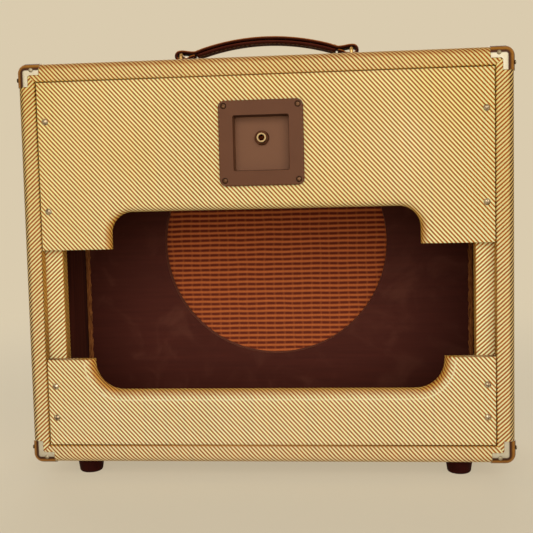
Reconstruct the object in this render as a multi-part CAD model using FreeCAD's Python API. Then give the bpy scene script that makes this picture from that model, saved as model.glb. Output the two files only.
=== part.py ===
import FreeCAD
import Part
import math
import os
from FreeCAD import Vector

# An open-back guitar speaker cabinet for one driver, covered in tweed.
# Millimetres. +Z is up, the rear faces -Y, and the origin is on the floor under the middle of the box.

# Shell: finger-jointed pine boards under a glued covering. Sizes are over the covering.
cabinet_width = 508.0
cabinet_height = 422.5
cabinet_depth = 184.0
board_thickness = 17.5
covering_thickness = 0.8
edge_radius = 9.5
finger_count = 9

# Back panels: plywood, covered on the outside and round the edges.
panel_thickness = 9.0
panel_setback = 2.0
panel_gap = 0.4
panel_edge_radius = 8.0
upper_panel_height = 175.2
upper_cutout_rise = 38.8
upper_tab_width = 73.5
upper_cutout_radius = 22.0
lower_panel_height = 91.8
lower_cutout_drop = 33.5
lower_tab_width = 50.5
lower_cutout_radius = 30.0
upper_screw_drop_high = 40.8
upper_screw_drop_low = 134.3
lower_screw_rise_high = 63.1
lower_screw_rise_low = 29.4

# Rear cleats that the back panels screw to.
cleat_width = 19.0
cleat_thickness = 12.0

# Baffle, grille cloth and the battens that the baffle is screwed to.
baffle_thickness = 12.7
baffle_side_gap = 1.2
front_recess = 19.0
speaker_hole_radius = 134.5
speaker_centre_rise = 13.7
cloth_thickness = 1.0
cloth_hem = 6.5
batten_height = 19.0
batten_thickness = 19.0
batten_end_gap = 2.0
baffle_screw_spacing = 165.0
baffle_screw_bite = 8.0
staple_crown = 10.0
staple_wire = 0.7
staple_leg = 6.0
staple_spacing = 74.0
staples_per_side = 5

# Jack dish: a moulded plate with a square recess.
dish_size = 87.0
dish_corner_radius = 6.5
dish_flange = 3.0
dish_edge_radius = 1.0
dish_drop = 68.9
dish_screw_spacing = 76.0
dish_counterbore_diameter = 6.6
dish_counterbore_depth = 1.7
recess_width = 57.6
recess_height = 56.8
recess_depth = 12.0
recess_draft = 1.2
recess_corner_radius = 2.0
dish_wall = 2.0
dish_floor = 2.5
dish_hole_gap = 0.6

# Jack: open frame with a threaded bush, for a quarter-inch plug.
jack_rise = 5.6
jack_bore_radius = 3.25
jack_bush_radius = 4.75
jack_bush_stand = 3.5
jack_washer_radius = 7.6
jack_washer_thickness = 1.0
jack_nut_flats = 12.7
jack_nut_thickness = 2.5
jack_plate_half_width = 10.0
jack_plate_thickness = 1.5
jack_frame_drop = 11.0
jack_arm_half_width = 7.0
jack_arm_length = 34.0
jack_stack_length = 9.0
jack_insulator_thickness = 0.8
jack_terminal_thickness = 0.6
jack_terminal_half_width = 3.0
jack_tag_length = 8.0
jack_rivet_radius = 1.0
jack_rivet_spacing = 5.0
jack_leaf_thickness = 0.5
jack_leaf_reach = 12.0
jack_leaf_hook = 3.0
jack_curl_radius = 0.8

# Metal corners and their pins.
corner_metal = 1.0
corner_leg_length = 25.0
corner_leg_width = 13.0
corner_leg_end_width = 9.5
corner_inner_radius = 3.0
pin_along_leg = 17.0
pin_from_edge = 8.0

# Handle: two leathers over a core strip, hung on two rings that turn in screwed clips.
handle_pivot_spacing = 188.6
handle_bar_height = 17.2
handle_peak_height = 34.8
handle_arch_radius = 250.0
handle_width = 20.0
leather_upper = 3.6
leather_lower = 3.2
glue_line = 0.2
core_thickness = 0.6
core_width = 13.0
core_length = 140.0
lower_leather_length = 158.0
loop_leather = 3.2
loop_hole_half_height = 2.9
loop_hole_straight = 4.0
ring_wire_radius = 2.0
ring_half_width = 14.5
ring_corner_radius = 4.0
ring_floor_gap = 0.3
clip_metal = 1.2
clip_width = 16.0
clip_ear_length = 14.0
clip_screw_offset = 9.5

# Feet: moulded rubber with a washer and a screw in the middle.
foot_height = 19.0
foot_top_diameter = 30.0
foot_bottom_diameter = 24.5
foot_edge_radius = 3.0
foot_inset_x = 52.5
foot_inset_y = 37.5
foot_bore_diameter = 13.0
foot_web = 6.0
foot_washer_diameter = 12.0
foot_washer_thickness = 1.2

# Screws and pins: shank diameter, length under the head, head diameter and height.
panel_screw = (3.5, 20.0, 6.6, 2.2)
dish_screw = (2.8, 10.0, 5.4, 1.5)
clip_screw = (3.5, 15.0, 6.4, 2.0)
foot_screw = (4.2, 20.0, 8.0, 2.4)
baffle_screw_shank = 4.0
baffle_screw_head = (7.6, 2.4)
corner_pin = (1.6, 11.0, 4.4, 1.2)
head_rim_share = 0.33
cross_slot_width = 0.8
cross_slot_share = 0.6
cross_depth_share = 0.55

# Clearances.
screw_gap = 0.05
hinge_gap = 0.08
loose_gap = 0.3

# Planes and edges worked out from the sizes above.
half_width = cabinet_width / 2
rear = -cabinet_depth / 2
front = cabinet_depth / 2
shell_bottom = foot_height
shell_top = shell_bottom + cabinet_height
shell_middle = (shell_bottom + shell_top) / 2
wood_half_width = half_width - covering_thickness
wood_rear = rear + covering_thickness
wood_front = front - covering_thickness
wood_bottom = shell_bottom + covering_thickness
wood_top = shell_top - covering_thickness
bore_half_width = wood_half_width - board_thickness
bore_bottom = wood_bottom + board_thickness
bore_top = wood_top - board_thickness
lining_half_width = bore_half_width - covering_thickness
lining_bottom = bore_bottom + covering_thickness
lining_top = bore_top - covering_thickness

panel_face = rear + panel_setback
ply_rear = panel_face + covering_thickness
cleat_face = ply_rear + panel_thickness
cleat_rear = cleat_face + covering_thickness
cleat_front = cleat_rear + cleat_thickness
cleat_inner = bore_half_width - cleat_width
panel_half_width = lining_half_width - panel_gap
upper_edge = lining_top - panel_gap
lower_edge = lining_bottom + panel_gap
upper_tab_end = upper_edge - upper_panel_height
lower_tab_end = lower_edge + lower_panel_height
screw_x = (cleat_inner + bore_half_width) / 2

cloth_front = front - front_recess
baffle_front = cloth_front - cloth_thickness
baffle_rear = baffle_front - baffle_thickness
hem_rear = baffle_rear - cloth_thickness
batten_rear = hem_rear - batten_thickness
baffle_half_width = bore_half_width - baffle_side_gap - cloth_thickness
baffle_bottom = bore_bottom + baffle_side_gap + cloth_thickness
baffle_top = bore_top - baffle_side_gap - cloth_thickness
speaker_centre = shell_middle + speaker_centre_rise

dish_middle = upper_edge - dish_drop
dish_face = panel_face - dish_flange
recess_floor = dish_face + recess_depth
dish_back = recess_floor + dish_floor
jack_z = dish_middle + jack_rise
arm_top = jack_z - jack_frame_drop + jack_plate_thickness

bar_z = shell_top + handle_bar_height
pivot_z = shell_top + ring_floor_gap + ring_wire_radius
handle_peak = shell_top + handle_peak_height
arch_centre = handle_peak - handle_arch_radius
pivot_x = handle_pivot_spacing / 2
loop_z = bar_z - (loop_hole_half_height - ring_wire_radius - loose_gap)

tiny = 0.01
through = 400.0
diagonal = math.sqrt(0.5)
hexagon_sides = 6


def box(x0, x1, y0, y1, z0, z1):
    """Block between two corners."""
    return Part.makeBox(x1 - x0, y1 - y0, z1 - z0, Vector(x0, y0, z0))


def rod(radius, start, end):
    """Round bar from one point to another."""
    return Part.makeCylinder(radius, (end - start).Length, start, end - start)


def rounded_block(grow):
    """The outside of the whole cabinet, grown or shrunk, with all its edges rounded."""
    block = box(-half_width - grow, half_width + grow, rear - grow, front + grow,
                shell_bottom - grow, shell_top + grow)
    return block.makeFillet(edge_radius + grow, block.Edges)


def save(name, solids):
    """Write one sub-part; several solids make one group."""
    shape = solids if isinstance(solids, Part.Shape) else Part.makeCompound(solids)
    if not shape.isValid():
        print("not valid:", name)
    shape.exportStep(os.path.join("parts", name + ".step"))
    print(name, len(shape.Solids), round(shape.Volume, 1))


def placed(shape, point, direction):
    """Move a piece modelled along -Z so that it starts at the point and runs along the direction."""
    turned = shape.copy()
    turned.Placement = FreeCAD.Placement(point, FreeCAD.Rotation(Vector(0, 0, -1), direction))
    return turned


def round_head_pin(shank_diameter, length, head_diameter, head_height):
    """Domed head above the origin, and a pointed shank down along -Z."""
    shank = shank_diameter / 2
    head = head_diameter / 2
    point = shank_diameter
    rim = head_height * head_rim_share
    dome = head_height - rim
    dome_radius = (head ** 2 + dome ** 2) / (2 * dome)
    half_turn = math.asin(head / dome_radius) / 2
    crown_z = head_height - dome_radius * (1 - math.cos(half_turn))
    crown = Vector(dome_radius * math.sin(half_turn), 0, crown_z)
    outline = [
        Part.makeLine(Vector(0, 0, -length), Vector(shank, 0, -length + point)),
        Part.makeLine(Vector(shank, 0, -length + point), Vector(shank, 0, 0)),
        Part.makeLine(Vector(shank, 0, 0), Vector(head, 0, 0)),
        Part.makeLine(Vector(head, 0, 0), Vector(head, 0, rim)),
        Part.Arc(Vector(head, 0, rim), crown, Vector(0, 0, head_height)).toShape(),
        Part.makeLine(Vector(0, 0, head_height), Vector(0, 0, -length)),
    ]
    face = Part.Face(Part.Wire(outline))
    return face.revolve(Vector(0, 0, 0), Vector(0, 0, 1), 360)


def cross_head_screw(shank_diameter, length, head_diameter, head_height):
    """Pan-head screw with a cross slot."""
    screw = round_head_pin(shank_diameter, length, head_diameter, head_height)
    reach = head_diameter * cross_slot_share / 2
    slot = cross_slot_width / 2
    floor = head_height * (1 - cross_depth_share)
    for x, y in ((reach, slot), (slot, reach)):
        screw = screw.cut(box(-x, x, -y, y, floor, 2 * head_height))
    return screw


def hole_for(size, point, direction):
    """Drilled hole that a screw or pin of this size passes or bites through."""
    shank_diameter, length = size[0], size[1]
    return rod(shank_diameter / 2 + screw_gap, point, point + direction * (length + screw_gap))


# Directions that fasteners are driven in.
INTO_REAR = Vector(0, 1, 0)
UP = Vector(0, 0, 1)
DOWN = Vector(0, 0, -1)

# Places of the fasteners.
panel_screw_points = {"upper": [], "lower": []}
for side in (-1, 1):
    for drop in (upper_screw_drop_high, upper_screw_drop_low):
        panel_screw_points["upper"].append(Vector(side * screw_x, panel_face, upper_edge - drop))
    for rise in (lower_screw_rise_high, lower_screw_rise_low):
        panel_screw_points["lower"].append(Vector(side * screw_x, panel_face, lower_edge + rise))

dish_screw_points = []
for side in (-1, 1):
    for end in (-1, 1):
        spot = Vector(side * dish_screw_spacing / 2, dish_face + dish_counterbore_depth,
                      dish_middle + end * dish_screw_spacing / 2)
        dish_screw_points.append(spot)

clip_screw_points = []
for side in (-1, 1):
    for ear in (-1, 1):
        clip_screw_points.append(Vector(side * pivot_x + ear * clip_screw_offset, 0, shell_top + clip_metal))

foot_places = {}
for side, side_name in ((-1, "left"), (1, "right")):
    for end, end_name in ((-1, "rear"), (1, "front")):
        place = Vector(side * (half_width - foot_inset_x), end * (front - foot_inset_y), 0)
        foot_places["foot_" + end_name + "_" + side_name] = place
washer_bottom = foot_height - foot_web - foot_washer_thickness

baffle_screw_length = batten_thickness + cloth_thickness + baffle_screw_bite
baffle_screw = (baffle_screw_shank, baffle_screw_length) + baffle_screw_head
baffle_screw_points = []
for column in (-1, 0, 1):
    for height in (bore_bottom + batten_height / 2, bore_top - batten_height / 2):
        baffle_screw_points.append(Vector(column * baffle_screw_spacing, batten_rear, height))

corner_places = {}
for x_side, x_name in ((-1, "left"), (1, "right")):
    for y_side, y_name in ((-1, "rear"), (1, "front")):
        for z_side, z_name in ((-1, "bottom"), (1, "top")):
            corner_places["corner_" + y_name + "_" + z_name + "_" + x_name] = (x_side, y_side, z_side)


def corner_axes(sides):
    """Outer point of a metal corner, and its three directions into the cabinet."""
    x_side, y_side, z_side = sides
    height = shell_top + corner_metal if z_side > 0 else shell_bottom - corner_metal
    tip = Vector(x_side * (half_width + corner_metal), y_side * (front + corner_metal), height)
    return tip, Vector(-x_side, 0, 0), Vector(0, -y_side, 0), Vector(0, 0, -z_side)


pin_places = []
for sides in corner_places.values():
    tip, along_x, along_y, along_z = corner_axes(sides)
    legs = ((along_x, along_z, along_y), (along_y, along_x, along_z), (along_z, along_y, along_x))
    for far, near, drive in legs:
        pin_places.append((tip + far * pin_along_leg + near * pin_from_edge, drive))

# Holes that several pieces share.
panel_holes = [hole_for(panel_screw, p, INTO_REAR) for group in panel_screw_points.values() for p in group]
dish_holes = [hole_for(dish_screw, p, INTO_REAR) for p in dish_screw_points]
clip_holes = [hole_for(clip_screw, p, DOWN) for p in clip_screw_points]
foot_holes = [hole_for(foot_screw, Vector(p.x, p.y, washer_bottom), UP) for p in foot_places.values()]
baffle_holes = [hole_for(baffle_screw, p, INTO_REAR) for p in baffle_screw_points]
pin_holes = [hole_for(corner_pin, p, drive) for p, drive in pin_places]


# Shell boards: each corner is shared out in slices, so that the boards' fingers interlock.
def finger_slices(parity, x0, x1, z0, z1):
    pitch = (wood_front - wood_rear) / finger_count
    slices = []
    for number in range(parity, finger_count, 2):
        start = wood_rear + number * pitch
        slices.append(box(x0, x1, start, start + pitch, z0, z1))
    return slices


def make_shell_boards():
    wood = rounded_block(-covering_thickness)
    wood = wood.cut(box(-bore_half_width, bore_half_width, rear, front, bore_bottom, bore_top))
    outer_x, inner_x = wood_half_width, bore_half_width
    middles = {
        "shell_top_board": box(-inner_x, inner_x, wood_rear, wood_front, bore_top, wood_top),
        "shell_bottom_board": box(-inner_x, inner_x, wood_rear, wood_front, wood_bottom, bore_bottom),
        "shell_left_board": box(-outer_x, -inner_x, wood_rear, wood_front, bore_bottom, bore_top),
        "shell_right_board": box(inner_x, outer_x, wood_rear, wood_front, bore_bottom, bore_top),
    }
    fingers = {
        "shell_top_board": finger_slices(0, -outer_x, outer_x, bore_top, wood_top),
        "shell_bottom_board": finger_slices(0, -outer_x, outer_x, wood_bottom, bore_bottom),
        "shell_left_board": finger_slices(1, -outer_x, -inner_x, wood_bottom, wood_top),
        "shell_right_board": finger_slices(1, inner_x, outer_x, wood_bottom, wood_top),
    }
    holes = pin_holes + clip_holes + foot_holes
    for name, middle in middles.items():
        board = wood.common(middle.multiFuse(fingers[name]))
        save(name, board.cut(holes).removeSplitter())


# Tweed of the shell: outside, over the front and rear edges, and in to the cleats and the baffle.
def make_shell_covering():
    skin = rounded_block(0).cut(rounded_block(-covering_thickness))
    hollow = box(-lining_half_width, lining_half_width, rear - through, front + through,
                 lining_bottom, lining_top)
    sleeves = []
    for start, end in ((wood_rear, cleat_face), (cloth_front + loose_gap, wood_front)):
        sleeve = box(-bore_half_width, bore_half_width, start, end, bore_bottom, bore_top)
        sleeves.append(sleeve.cut(hollow))
    skin = skin.cut(hollow).multiFuse(sleeves)
    save("shell_tweed", skin.cut(pin_holes + clip_holes + foot_holes))


# Rear cleats, glued to the side boards, and their strips of tweed.
def make_cleats():
    for side, name in ((-1, "left"), (1, "right")):
        outer, inner = side * bore_half_width, side * cleat_inner
        skin = side * (cleat_inner - covering_thickness)
        wood = box(min(outer, inner), max(outer, inner), cleat_rear, cleat_front, bore_bottom, bore_top)
        wrap = box(min(outer, skin), max(outer, skin), cleat_face, cleat_front, bore_bottom, bore_top)
        save("rear_cleat_" + name, wood.cut(panel_holes))
        save("cleat_tweed_" + name, wrap.cut(wood).cut(panel_holes))


# Back panels: straight against the shell, with two tabs either side of a round-cornered cut-out.
def panel_outline(side, edge, tab_end, cutout, tab_width, radius, inset, y):
    half = panel_half_width - inset
    edge_z = edge - side * inset
    tab_z = tab_end + side * inset
    cut_z = cutout + side * inset
    tab_x = panel_half_width - tab_width + inset
    arc = radius + inset
    bend_x = tab_x - arc
    bend_z = cut_z - side * arc
    slant = arc * diagonal

    def at(x, z):
        return Vector(x, y, z)

    lines = [(at(tab_x, bend_z), at(tab_x, tab_z)), (at(tab_x, tab_z), at(half, tab_z)),
             (at(half, tab_z), at(half, edge_z)), (at(half, edge_z), at(-half, edge_z)),
             (at(-half, edge_z), at(-half, tab_z)), (at(-half, tab_z), at(-tab_x, tab_z)),
             (at(-tab_x, tab_z), at(-tab_x, bend_z)), (at(-bend_x, cut_z), at(bend_x, cut_z))]
    edges = [Part.makeLine(a, b) for a, b in lines]
    for mirror in (-1, 1):
        middle = at(mirror * (bend_x + slant), bend_z + side * slant)
        edges.append(Part.Arc(at(mirror * tab_x, bend_z), middle, at(mirror * bend_x, cut_z)).toShape())
    return Part.Face(Part.Wire(Part.__sortEdges__(edges)))


def panel_solid(shape, inset, thickness, radius):
    """Panel blank whose cut-out is rounded over on its rear face."""
    side, edge, tab_end, cutout, tab_width = shape[:5]
    y = panel_face + inset
    blank = panel_outline(*shape, inset, y).extrude(Vector(0, thickness, 0))
    tab_x = panel_half_width - tab_width + inset
    low, high = sorted((tab_end + side * inset, cutout + side * inset))
    rounded = []
    for line in blank.Edges:
        middle = line.valueAt((line.FirstParameter + line.LastParameter) / 2)
        on_face = abs(middle.y - y) < tiny
        in_cutout = abs(middle.x) < tab_x + tiny and low - tiny < middle.z < high + tiny
        if on_face and in_cutout:
            rounded.append(line)
    return blank.makeFillet(radius, rounded)


def make_back_panels():
    shapes = {
        "upper": (1, upper_edge, upper_tab_end, upper_tab_end + upper_cutout_rise,
                  upper_tab_width, upper_cutout_radius),
        "lower": (-1, lower_edge, lower_tab_end, lower_tab_end - lower_cutout_drop,
                  lower_tab_width, lower_cutout_radius),
    }
    full_thickness = covering_thickness + panel_thickness
    hole_x = recess_width / 2 + dish_wall + dish_hole_gap
    hole_z = recess_height / 2 + dish_wall + dish_hole_gap
    dish_window = box(-hole_x, hole_x, rear, cleat_face + tiny, dish_middle - hole_z, dish_middle + hole_z)
    for name, shape in shapes.items():
        whole = panel_solid(shape, 0, full_thickness, panel_edge_radius + covering_thickness)
        wood = panel_solid(shape, covering_thickness, panel_thickness, panel_edge_radius)
        covering = whole.cut(wood)
        cuts = panel_holes + dish_holes
        if name == "upper":
            cuts = cuts + [dish_window]
        save(name + "_back_panel", wood.cut(cuts))
        save(name + "_back_tweed", covering.cut(cuts))
        screws = [placed(cross_head_screw(*panel_screw), p, INTO_REAR) for p in panel_screw_points[name]]
        save(name + "_panel_screws", screws)


# Baffle with its speaker hole, the cloth stretched over it, the staples, and the battens behind it.
def make_staples():
    staples = []
    wire = staple_wire / 2
    half_crown = staple_crown / 2
    leg_end = baffle_rear + staple_leg
    for side in (-1, 1):
        x = side * (baffle_half_width - cloth_hem / 2)
        for number in range(staples_per_side):
            z = (baffle_bottom + baffle_top) / 2 + (number - (staples_per_side - 1) / 2) * staple_spacing
            crown = box(x - wire, x + wire, hem_rear, hem_rear + staple_wire, z - half_crown, z + half_crown)
            legs = []
            for end in (-1, 1):
                leg_z = z + end * (half_crown - wire)
                legs.append(box(x - wire, x + wire, hem_rear, leg_end, leg_z - wire, leg_z + wire))
            staples.append(crown.multiFuse(legs).removeSplitter())
    return staples


def make_baffle():
    staples = make_staples()
    hole = rod(speaker_hole_radius, Vector(0, baffle_rear - through, speaker_centre),
               Vector(0, baffle_front, speaker_centre))
    board = box(-baffle_half_width, baffle_half_width, baffle_rear, baffle_front, baffle_bottom, baffle_top)
    wrap_x = baffle_half_width + cloth_thickness
    wrap_bottom = baffle_bottom - cloth_thickness
    wrap_top = baffle_top + cloth_thickness
    sheet = box(-wrap_x, wrap_x, baffle_front, cloth_front, wrap_bottom, wrap_top)
    window_x = baffle_half_width - cloth_hem
    window = box(-window_x, window_x, hem_rear, baffle_rear,
                 baffle_bottom + cloth_hem, baffle_top - cloth_hem)
    hem = box(-wrap_x, wrap_x, hem_rear, baffle_front, wrap_bottom, wrap_top).cut([board, window])
    save("baffle_board", board.cut([hole] + baffle_holes + staples))
    save("grille_cloth", sheet)
    save("grille_cloth_hem", hem.cut(baffle_holes + staples))
    save("grille_staples", staples)
    length = bore_half_width - batten_end_gap
    for name, low in (("bottom", bore_bottom), ("top", bore_top - batten_height)):
        batten = box(-length, length, batten_rear, hem_rear, low, low + batten_height)
        save("baffle_batten_" + name, batten.cut(baffle_holes))
    screw = cross_head_screw(*baffle_screw)
    save("baffle_screws", [placed(screw, p, INTO_REAR) for p in baffle_screw_points])


# Jack dish: flange with round corners, and a drafted square recess.
def rounded_rectangle(width, height, radius, y):
    x, z = width / 2, height / 2
    edges = []
    for x_side, z_side in ((1, 1), (-1, 1), (-1, -1), (1, -1)):
        bend_x, bend_z = x_side * (x - radius), z_side * (z - radius)
        slant = radius * diagonal
        ends = [Vector(x_side * x, y, dish_middle + bend_z), Vector(bend_x, y, dish_middle + z_side * z)]
        middle = Vector(bend_x + x_side * slant, y, dish_middle + bend_z + z_side * slant)
        edges.append(Part.Arc(ends[0], middle, ends[1]).toShape())
    low, high = dish_middle - z, dish_middle + z
    for edge_z in (low, high):
        edges.append(Part.makeLine(Vector(-x + radius, y, edge_z), Vector(x - radius, y, edge_z)))
    for edge_x in (-x, x):
        edges.append(Part.makeLine(Vector(edge_x, y, low + radius), Vector(edge_x, y, high - radius)))
    return Part.Wire(Part.__sortEdges__(edges))


def make_jack_dish():
    flange = Part.Face(rounded_rectangle(dish_size, dish_size, dish_corner_radius, dish_face))
    flange = flange.extrude(Vector(0, dish_flange, 0))
    rim = [e for e in flange.Edges if abs(e.BoundBox.YMax - dish_face) < tiny]
    flange = flange.makeFillet(dish_edge_radius, rim)
    body_x = recess_width / 2 + dish_wall
    body_z = recess_height / 2 + dish_wall
    body = box(-body_x, body_x, panel_face, dish_back, dish_middle - body_z, dish_middle + body_z)
    mouth = rounded_rectangle(recess_width, recess_height, recess_corner_radius, dish_face)
    floor = rounded_rectangle(recess_width - 2 * recess_draft, recess_height - 2 * recess_draft,
                              recess_corner_radius, recess_floor)
    recess = Part.makeLoft([mouth, floor], True, True)
    jack_hole = rod(jack_bush_radius + screw_gap, Vector(0, dish_face, jack_z), Vector(0, dish_back, jack_z))
    sinks = []
    for p in dish_screw_points:
        sinks.append(rod(dish_counterbore_diameter / 2, Vector(p.x, dish_face, p.z), p))
    dish = flange.fuse(body).cut([recess, jack_hole] + sinks + dish_holes)
    save("jack_dish", dish.removeSplitter())
    save("jack_dish_screws", [placed(cross_head_screw(*dish_screw), p, INTO_REAR) for p in dish_screw_points])


# Jack: bush and frame, washer and nut outside, and the insulated tip contact inside.
def make_jack():
    def axis(y):
        return Vector(0, y, jack_z)

    washer_face = recess_floor - jack_washer_thickness
    nut_face = washer_face - jack_nut_thickness
    bush_end = nut_face - jack_bush_stand
    plate_end = dish_back + jack_plate_thickness
    arm_bottom = jack_z - jack_frame_drop
    arm_end = dish_back + jack_arm_length
    plate = box(-jack_plate_half_width, jack_plate_half_width, dish_back, plate_end,
                arm_bottom, jack_z + jack_plate_half_width)
    arm = box(-jack_arm_half_width, jack_arm_half_width, dish_back, arm_end, arm_bottom, arm_top)
    bush = rod(jack_bush_radius, axis(bush_end), axis(plate_end))
    bore = rod(jack_bore_radius, axis(bush_end), axis(plate_end))

    stack_end = arm_end
    stack_start = stack_end - jack_stack_length
    stack_middle = (stack_start + stack_end) / 2
    terminal_low = arm_top + jack_insulator_thickness
    terminal_high = terminal_low + jack_terminal_thickness
    stack_top = terminal_high + jack_insulator_thickness
    rivets = []
    rivet_holes = []
    for end in (-1, 1):
        y = stack_middle + end * jack_rivet_spacing / 2
        low, high = Vector(0, y, arm_bottom), Vector(0, y, stack_top)
        rivets.append(rod(jack_rivet_radius, low, high))
        rivet_holes.append(rod(jack_rivet_radius + screw_gap, low, high))
    insulators = []
    for low in (arm_top, terminal_high):
        pad = box(-jack_arm_half_width, jack_arm_half_width, stack_start, stack_end,
                  low, low + jack_insulator_thickness)
        insulators.append(pad.cut(rivet_holes))
    terminal = box(-jack_terminal_half_width, jack_terminal_half_width, stack_start,
                   stack_end + jack_tag_length, terminal_low, terminal_high)

    root_y = stack_start - loose_gap - jack_curl_radius
    root_z = (terminal_low + terminal_high) / 2
    touch_y = root_y - jack_leaf_reach
    touch_z = jack_z - jack_bore_radius + jack_leaf_thickness
    hook_y = touch_y - jack_leaf_hook
    hook_z = touch_z - jack_leaf_hook
    half = jack_leaf_thickness / 2
    profile = [Vector(0, root_y, root_z - half), Vector(0, root_y, root_z + half),
               Vector(0, touch_y, touch_z + half), Vector(0, hook_y, hook_z + half),
               Vector(0, hook_y, hook_z - half), Vector(0, touch_y, touch_z - half)]
    strip = Part.Face(Part.makePolygon(profile + profile[:1]))
    strip = strip.extrude(Vector(2 * jack_terminal_half_width, 0, 0))
    strip.translate(Vector(-jack_terminal_half_width, 0, 0))
    curl = rod(jack_curl_radius, Vector(-jack_terminal_half_width, root_y, root_z),
               Vector(jack_terminal_half_width, root_y, root_z))

    washer = rod(jack_washer_radius, axis(washer_face), axis(recess_floor))
    nut_radius = jack_nut_flats / 2 / math.cos(math.pi / hexagon_sides)
    hexagon = []
    for number in range(hexagon_sides + 1):
        angle = 2 * math.pi * number / hexagon_sides
        corner = Vector(math.cos(angle), 0, math.sin(angle)) * nut_radius
        hexagon.append(axis(nut_face) + corner)
    nut = Part.Face(Part.makePolygon(hexagon)).extrude(Vector(0, jack_nut_thickness, 0))
    bush_hole = rod(jack_bush_radius + screw_gap, axis(nut_face), axis(recess_floor))

    save("jack_frame", plate.multiFuse([arm, bush]).cut([bore] + rivet_holes).removeSplitter())
    save("jack_washer", washer.cut(bush_hole))
    save("jack_nut", nut.cut(bush_hole))
    save("jack_insulators", insulators)
    save("jack_tip_terminal", terminal.cut(rivet_holes))
    save("jack_tip_leaf", strip.fuse(curl).removeSplitter())
    save("jack_rivets", rivets)
    print("leaf hinge", root_y, root_z, "jack axis", jack_z, "bush", bush_end, plate_end)


# Metal corners: three tapered legs over the rounded corner, cut from a skin just outside the tweed.
def leg_prism(tip, along, across, inward):
    length, width, bend = corner_leg_length, corner_leg_width, corner_inner_radius
    end = corner_leg_end_width

    def at(a, b):
        return tip + along * a + across * b

    inner = width + bend * (1 - diagonal)
    edges = [Part.makeLine(at(0, 0), at(length, 0)), Part.makeLine(at(length, 0), at(length, end)),
             Part.makeLine(at(length, end), at(width + bend, width)),
             Part.Arc(at(width + bend, width), at(inner, inner), at(width, width + bend)).toShape(),
             Part.makeLine(at(width, width + bend), at(end, length)),
             Part.makeLine(at(end, length), at(0, length)), Part.makeLine(at(0, length), at(0, 0))]
    return Part.Face(Part.Wire(edges)).extrude(inward * width)


def make_corners():
    skin = rounded_block(corner_metal).cut(rounded_block(0))
    for name, sides in corner_places.items():
        tip, along_x, along_y, along_z = corner_axes(sides)
        rear_legs = leg_prism(tip, along_x, along_z, along_y)
        top_legs = leg_prism(tip, along_x, along_y, along_z)
        side_legs = leg_prism(tip, along_y, along_z, along_x)
        legs = rear_legs.multiFuse([top_legs, side_legs])
        save(name, skin.common(legs).cut(pin_holes))
    save("corner_pins", [placed(round_head_pin(*corner_pin), p, drive) for p, drive in pin_places])


# Handle: leather arch with a loop at each end, hung on rings.
def arch_band(outer_radius, thickness, half_length, width):
    """Strip that follows the handle's arch, measured down from an outer radius."""
    inner_radius = outer_radius - thickness
    angle = math.asin(half_length / handle_arch_radius)

    def at(radius, turn):
        return Vector(radius * math.sin(turn), -width / 2, arch_centre + radius * math.cos(turn))

    edges = [Part.Arc(at(outer_radius, -angle), at(outer_radius, 0), at(outer_radius, angle)).toShape(),
             Part.makeLine(at(outer_radius, angle), at(inner_radius, angle)),
             Part.Arc(at(inner_radius, angle), at(inner_radius, 0), at(inner_radius, -angle)).toShape(),
             Part.makeLine(at(inner_radius, -angle), at(outer_radius, -angle))]
    return Part.Face(Part.Wire(edges)).extrude(Vector(0, width, 0))


def long_round(middle_x, half_height, width):
    """Bar of oval section along Y, for the handle's loops."""
    half = loop_hole_straight / 2
    y = width / 2
    shape = box(middle_x - half, middle_x + half, -y, y, loop_z - half_height, loop_z + half_height)
    ends = []
    for x in (middle_x - half, middle_x + half):
        ends.append(rod(half_height, Vector(x, -y, loop_z), Vector(x, y, loop_z)))
    return shape.multiFuse(ends).removeSplitter()


def make_handle_leather():
    loop_half_height = loop_hole_half_height + loop_leather
    hole_half_width = loop_hole_half_height + loop_hole_straight / 2
    upper_end = pivot_x - hole_half_width - loop_leather / 2
    upper = arch_band(handle_arch_radius, leather_upper, upper_end, handle_width)
    loops = [long_round(side * pivot_x, loop_half_height, handle_width) for side in (-1, 1)]
    loop_holes = [long_round(side * pivot_x, loop_hole_half_height, handle_width) for side in (-1, 1)]
    save("handle_upper_leather", upper.multiFuse(loops).cut(loop_holes).removeSplitter())
    core_radius = handle_arch_radius - leather_upper - glue_line
    save("handle_core_strip", arch_band(core_radius, core_thickness, core_length / 2, core_width))
    lower_radius = core_radius - core_thickness - glue_line
    lower = arch_band(lower_radius, leather_lower, lower_leather_length / 2, handle_width)
    save("handle_lower_leather", lower)


def make_ring(middle_x):
    """Round wire bent to a rectangle, standing over its lower bar."""
    y, bend, wire = ring_half_width, ring_corner_radius, ring_wire_radius
    pieces = []
    for z in (pivot_z, bar_z):
        pieces.append(rod(wire, Vector(middle_x, -y + bend, z), Vector(middle_x, y - bend, z)))
    for side in (-1, 1):
        leg = side * y
        pieces.append(rod(wire, Vector(middle_x, leg, pivot_z + bend), Vector(middle_x, leg, bar_z - bend)))
        for z, end in ((pivot_z, -1), (bar_z, 1)):
            centre = Vector(middle_x, side * (y - bend), z - end * bend)
            section = Part.Face(Part.Wire(Part.makeCircle(wire, Vector(middle_x, leg, centre.z), UP)))
            pieces.append(section.revolve(centre, Vector(side * end, 0, 0), 90))
    return pieces[0].multiFuse(pieces[1:]).removeSplitter()


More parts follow.
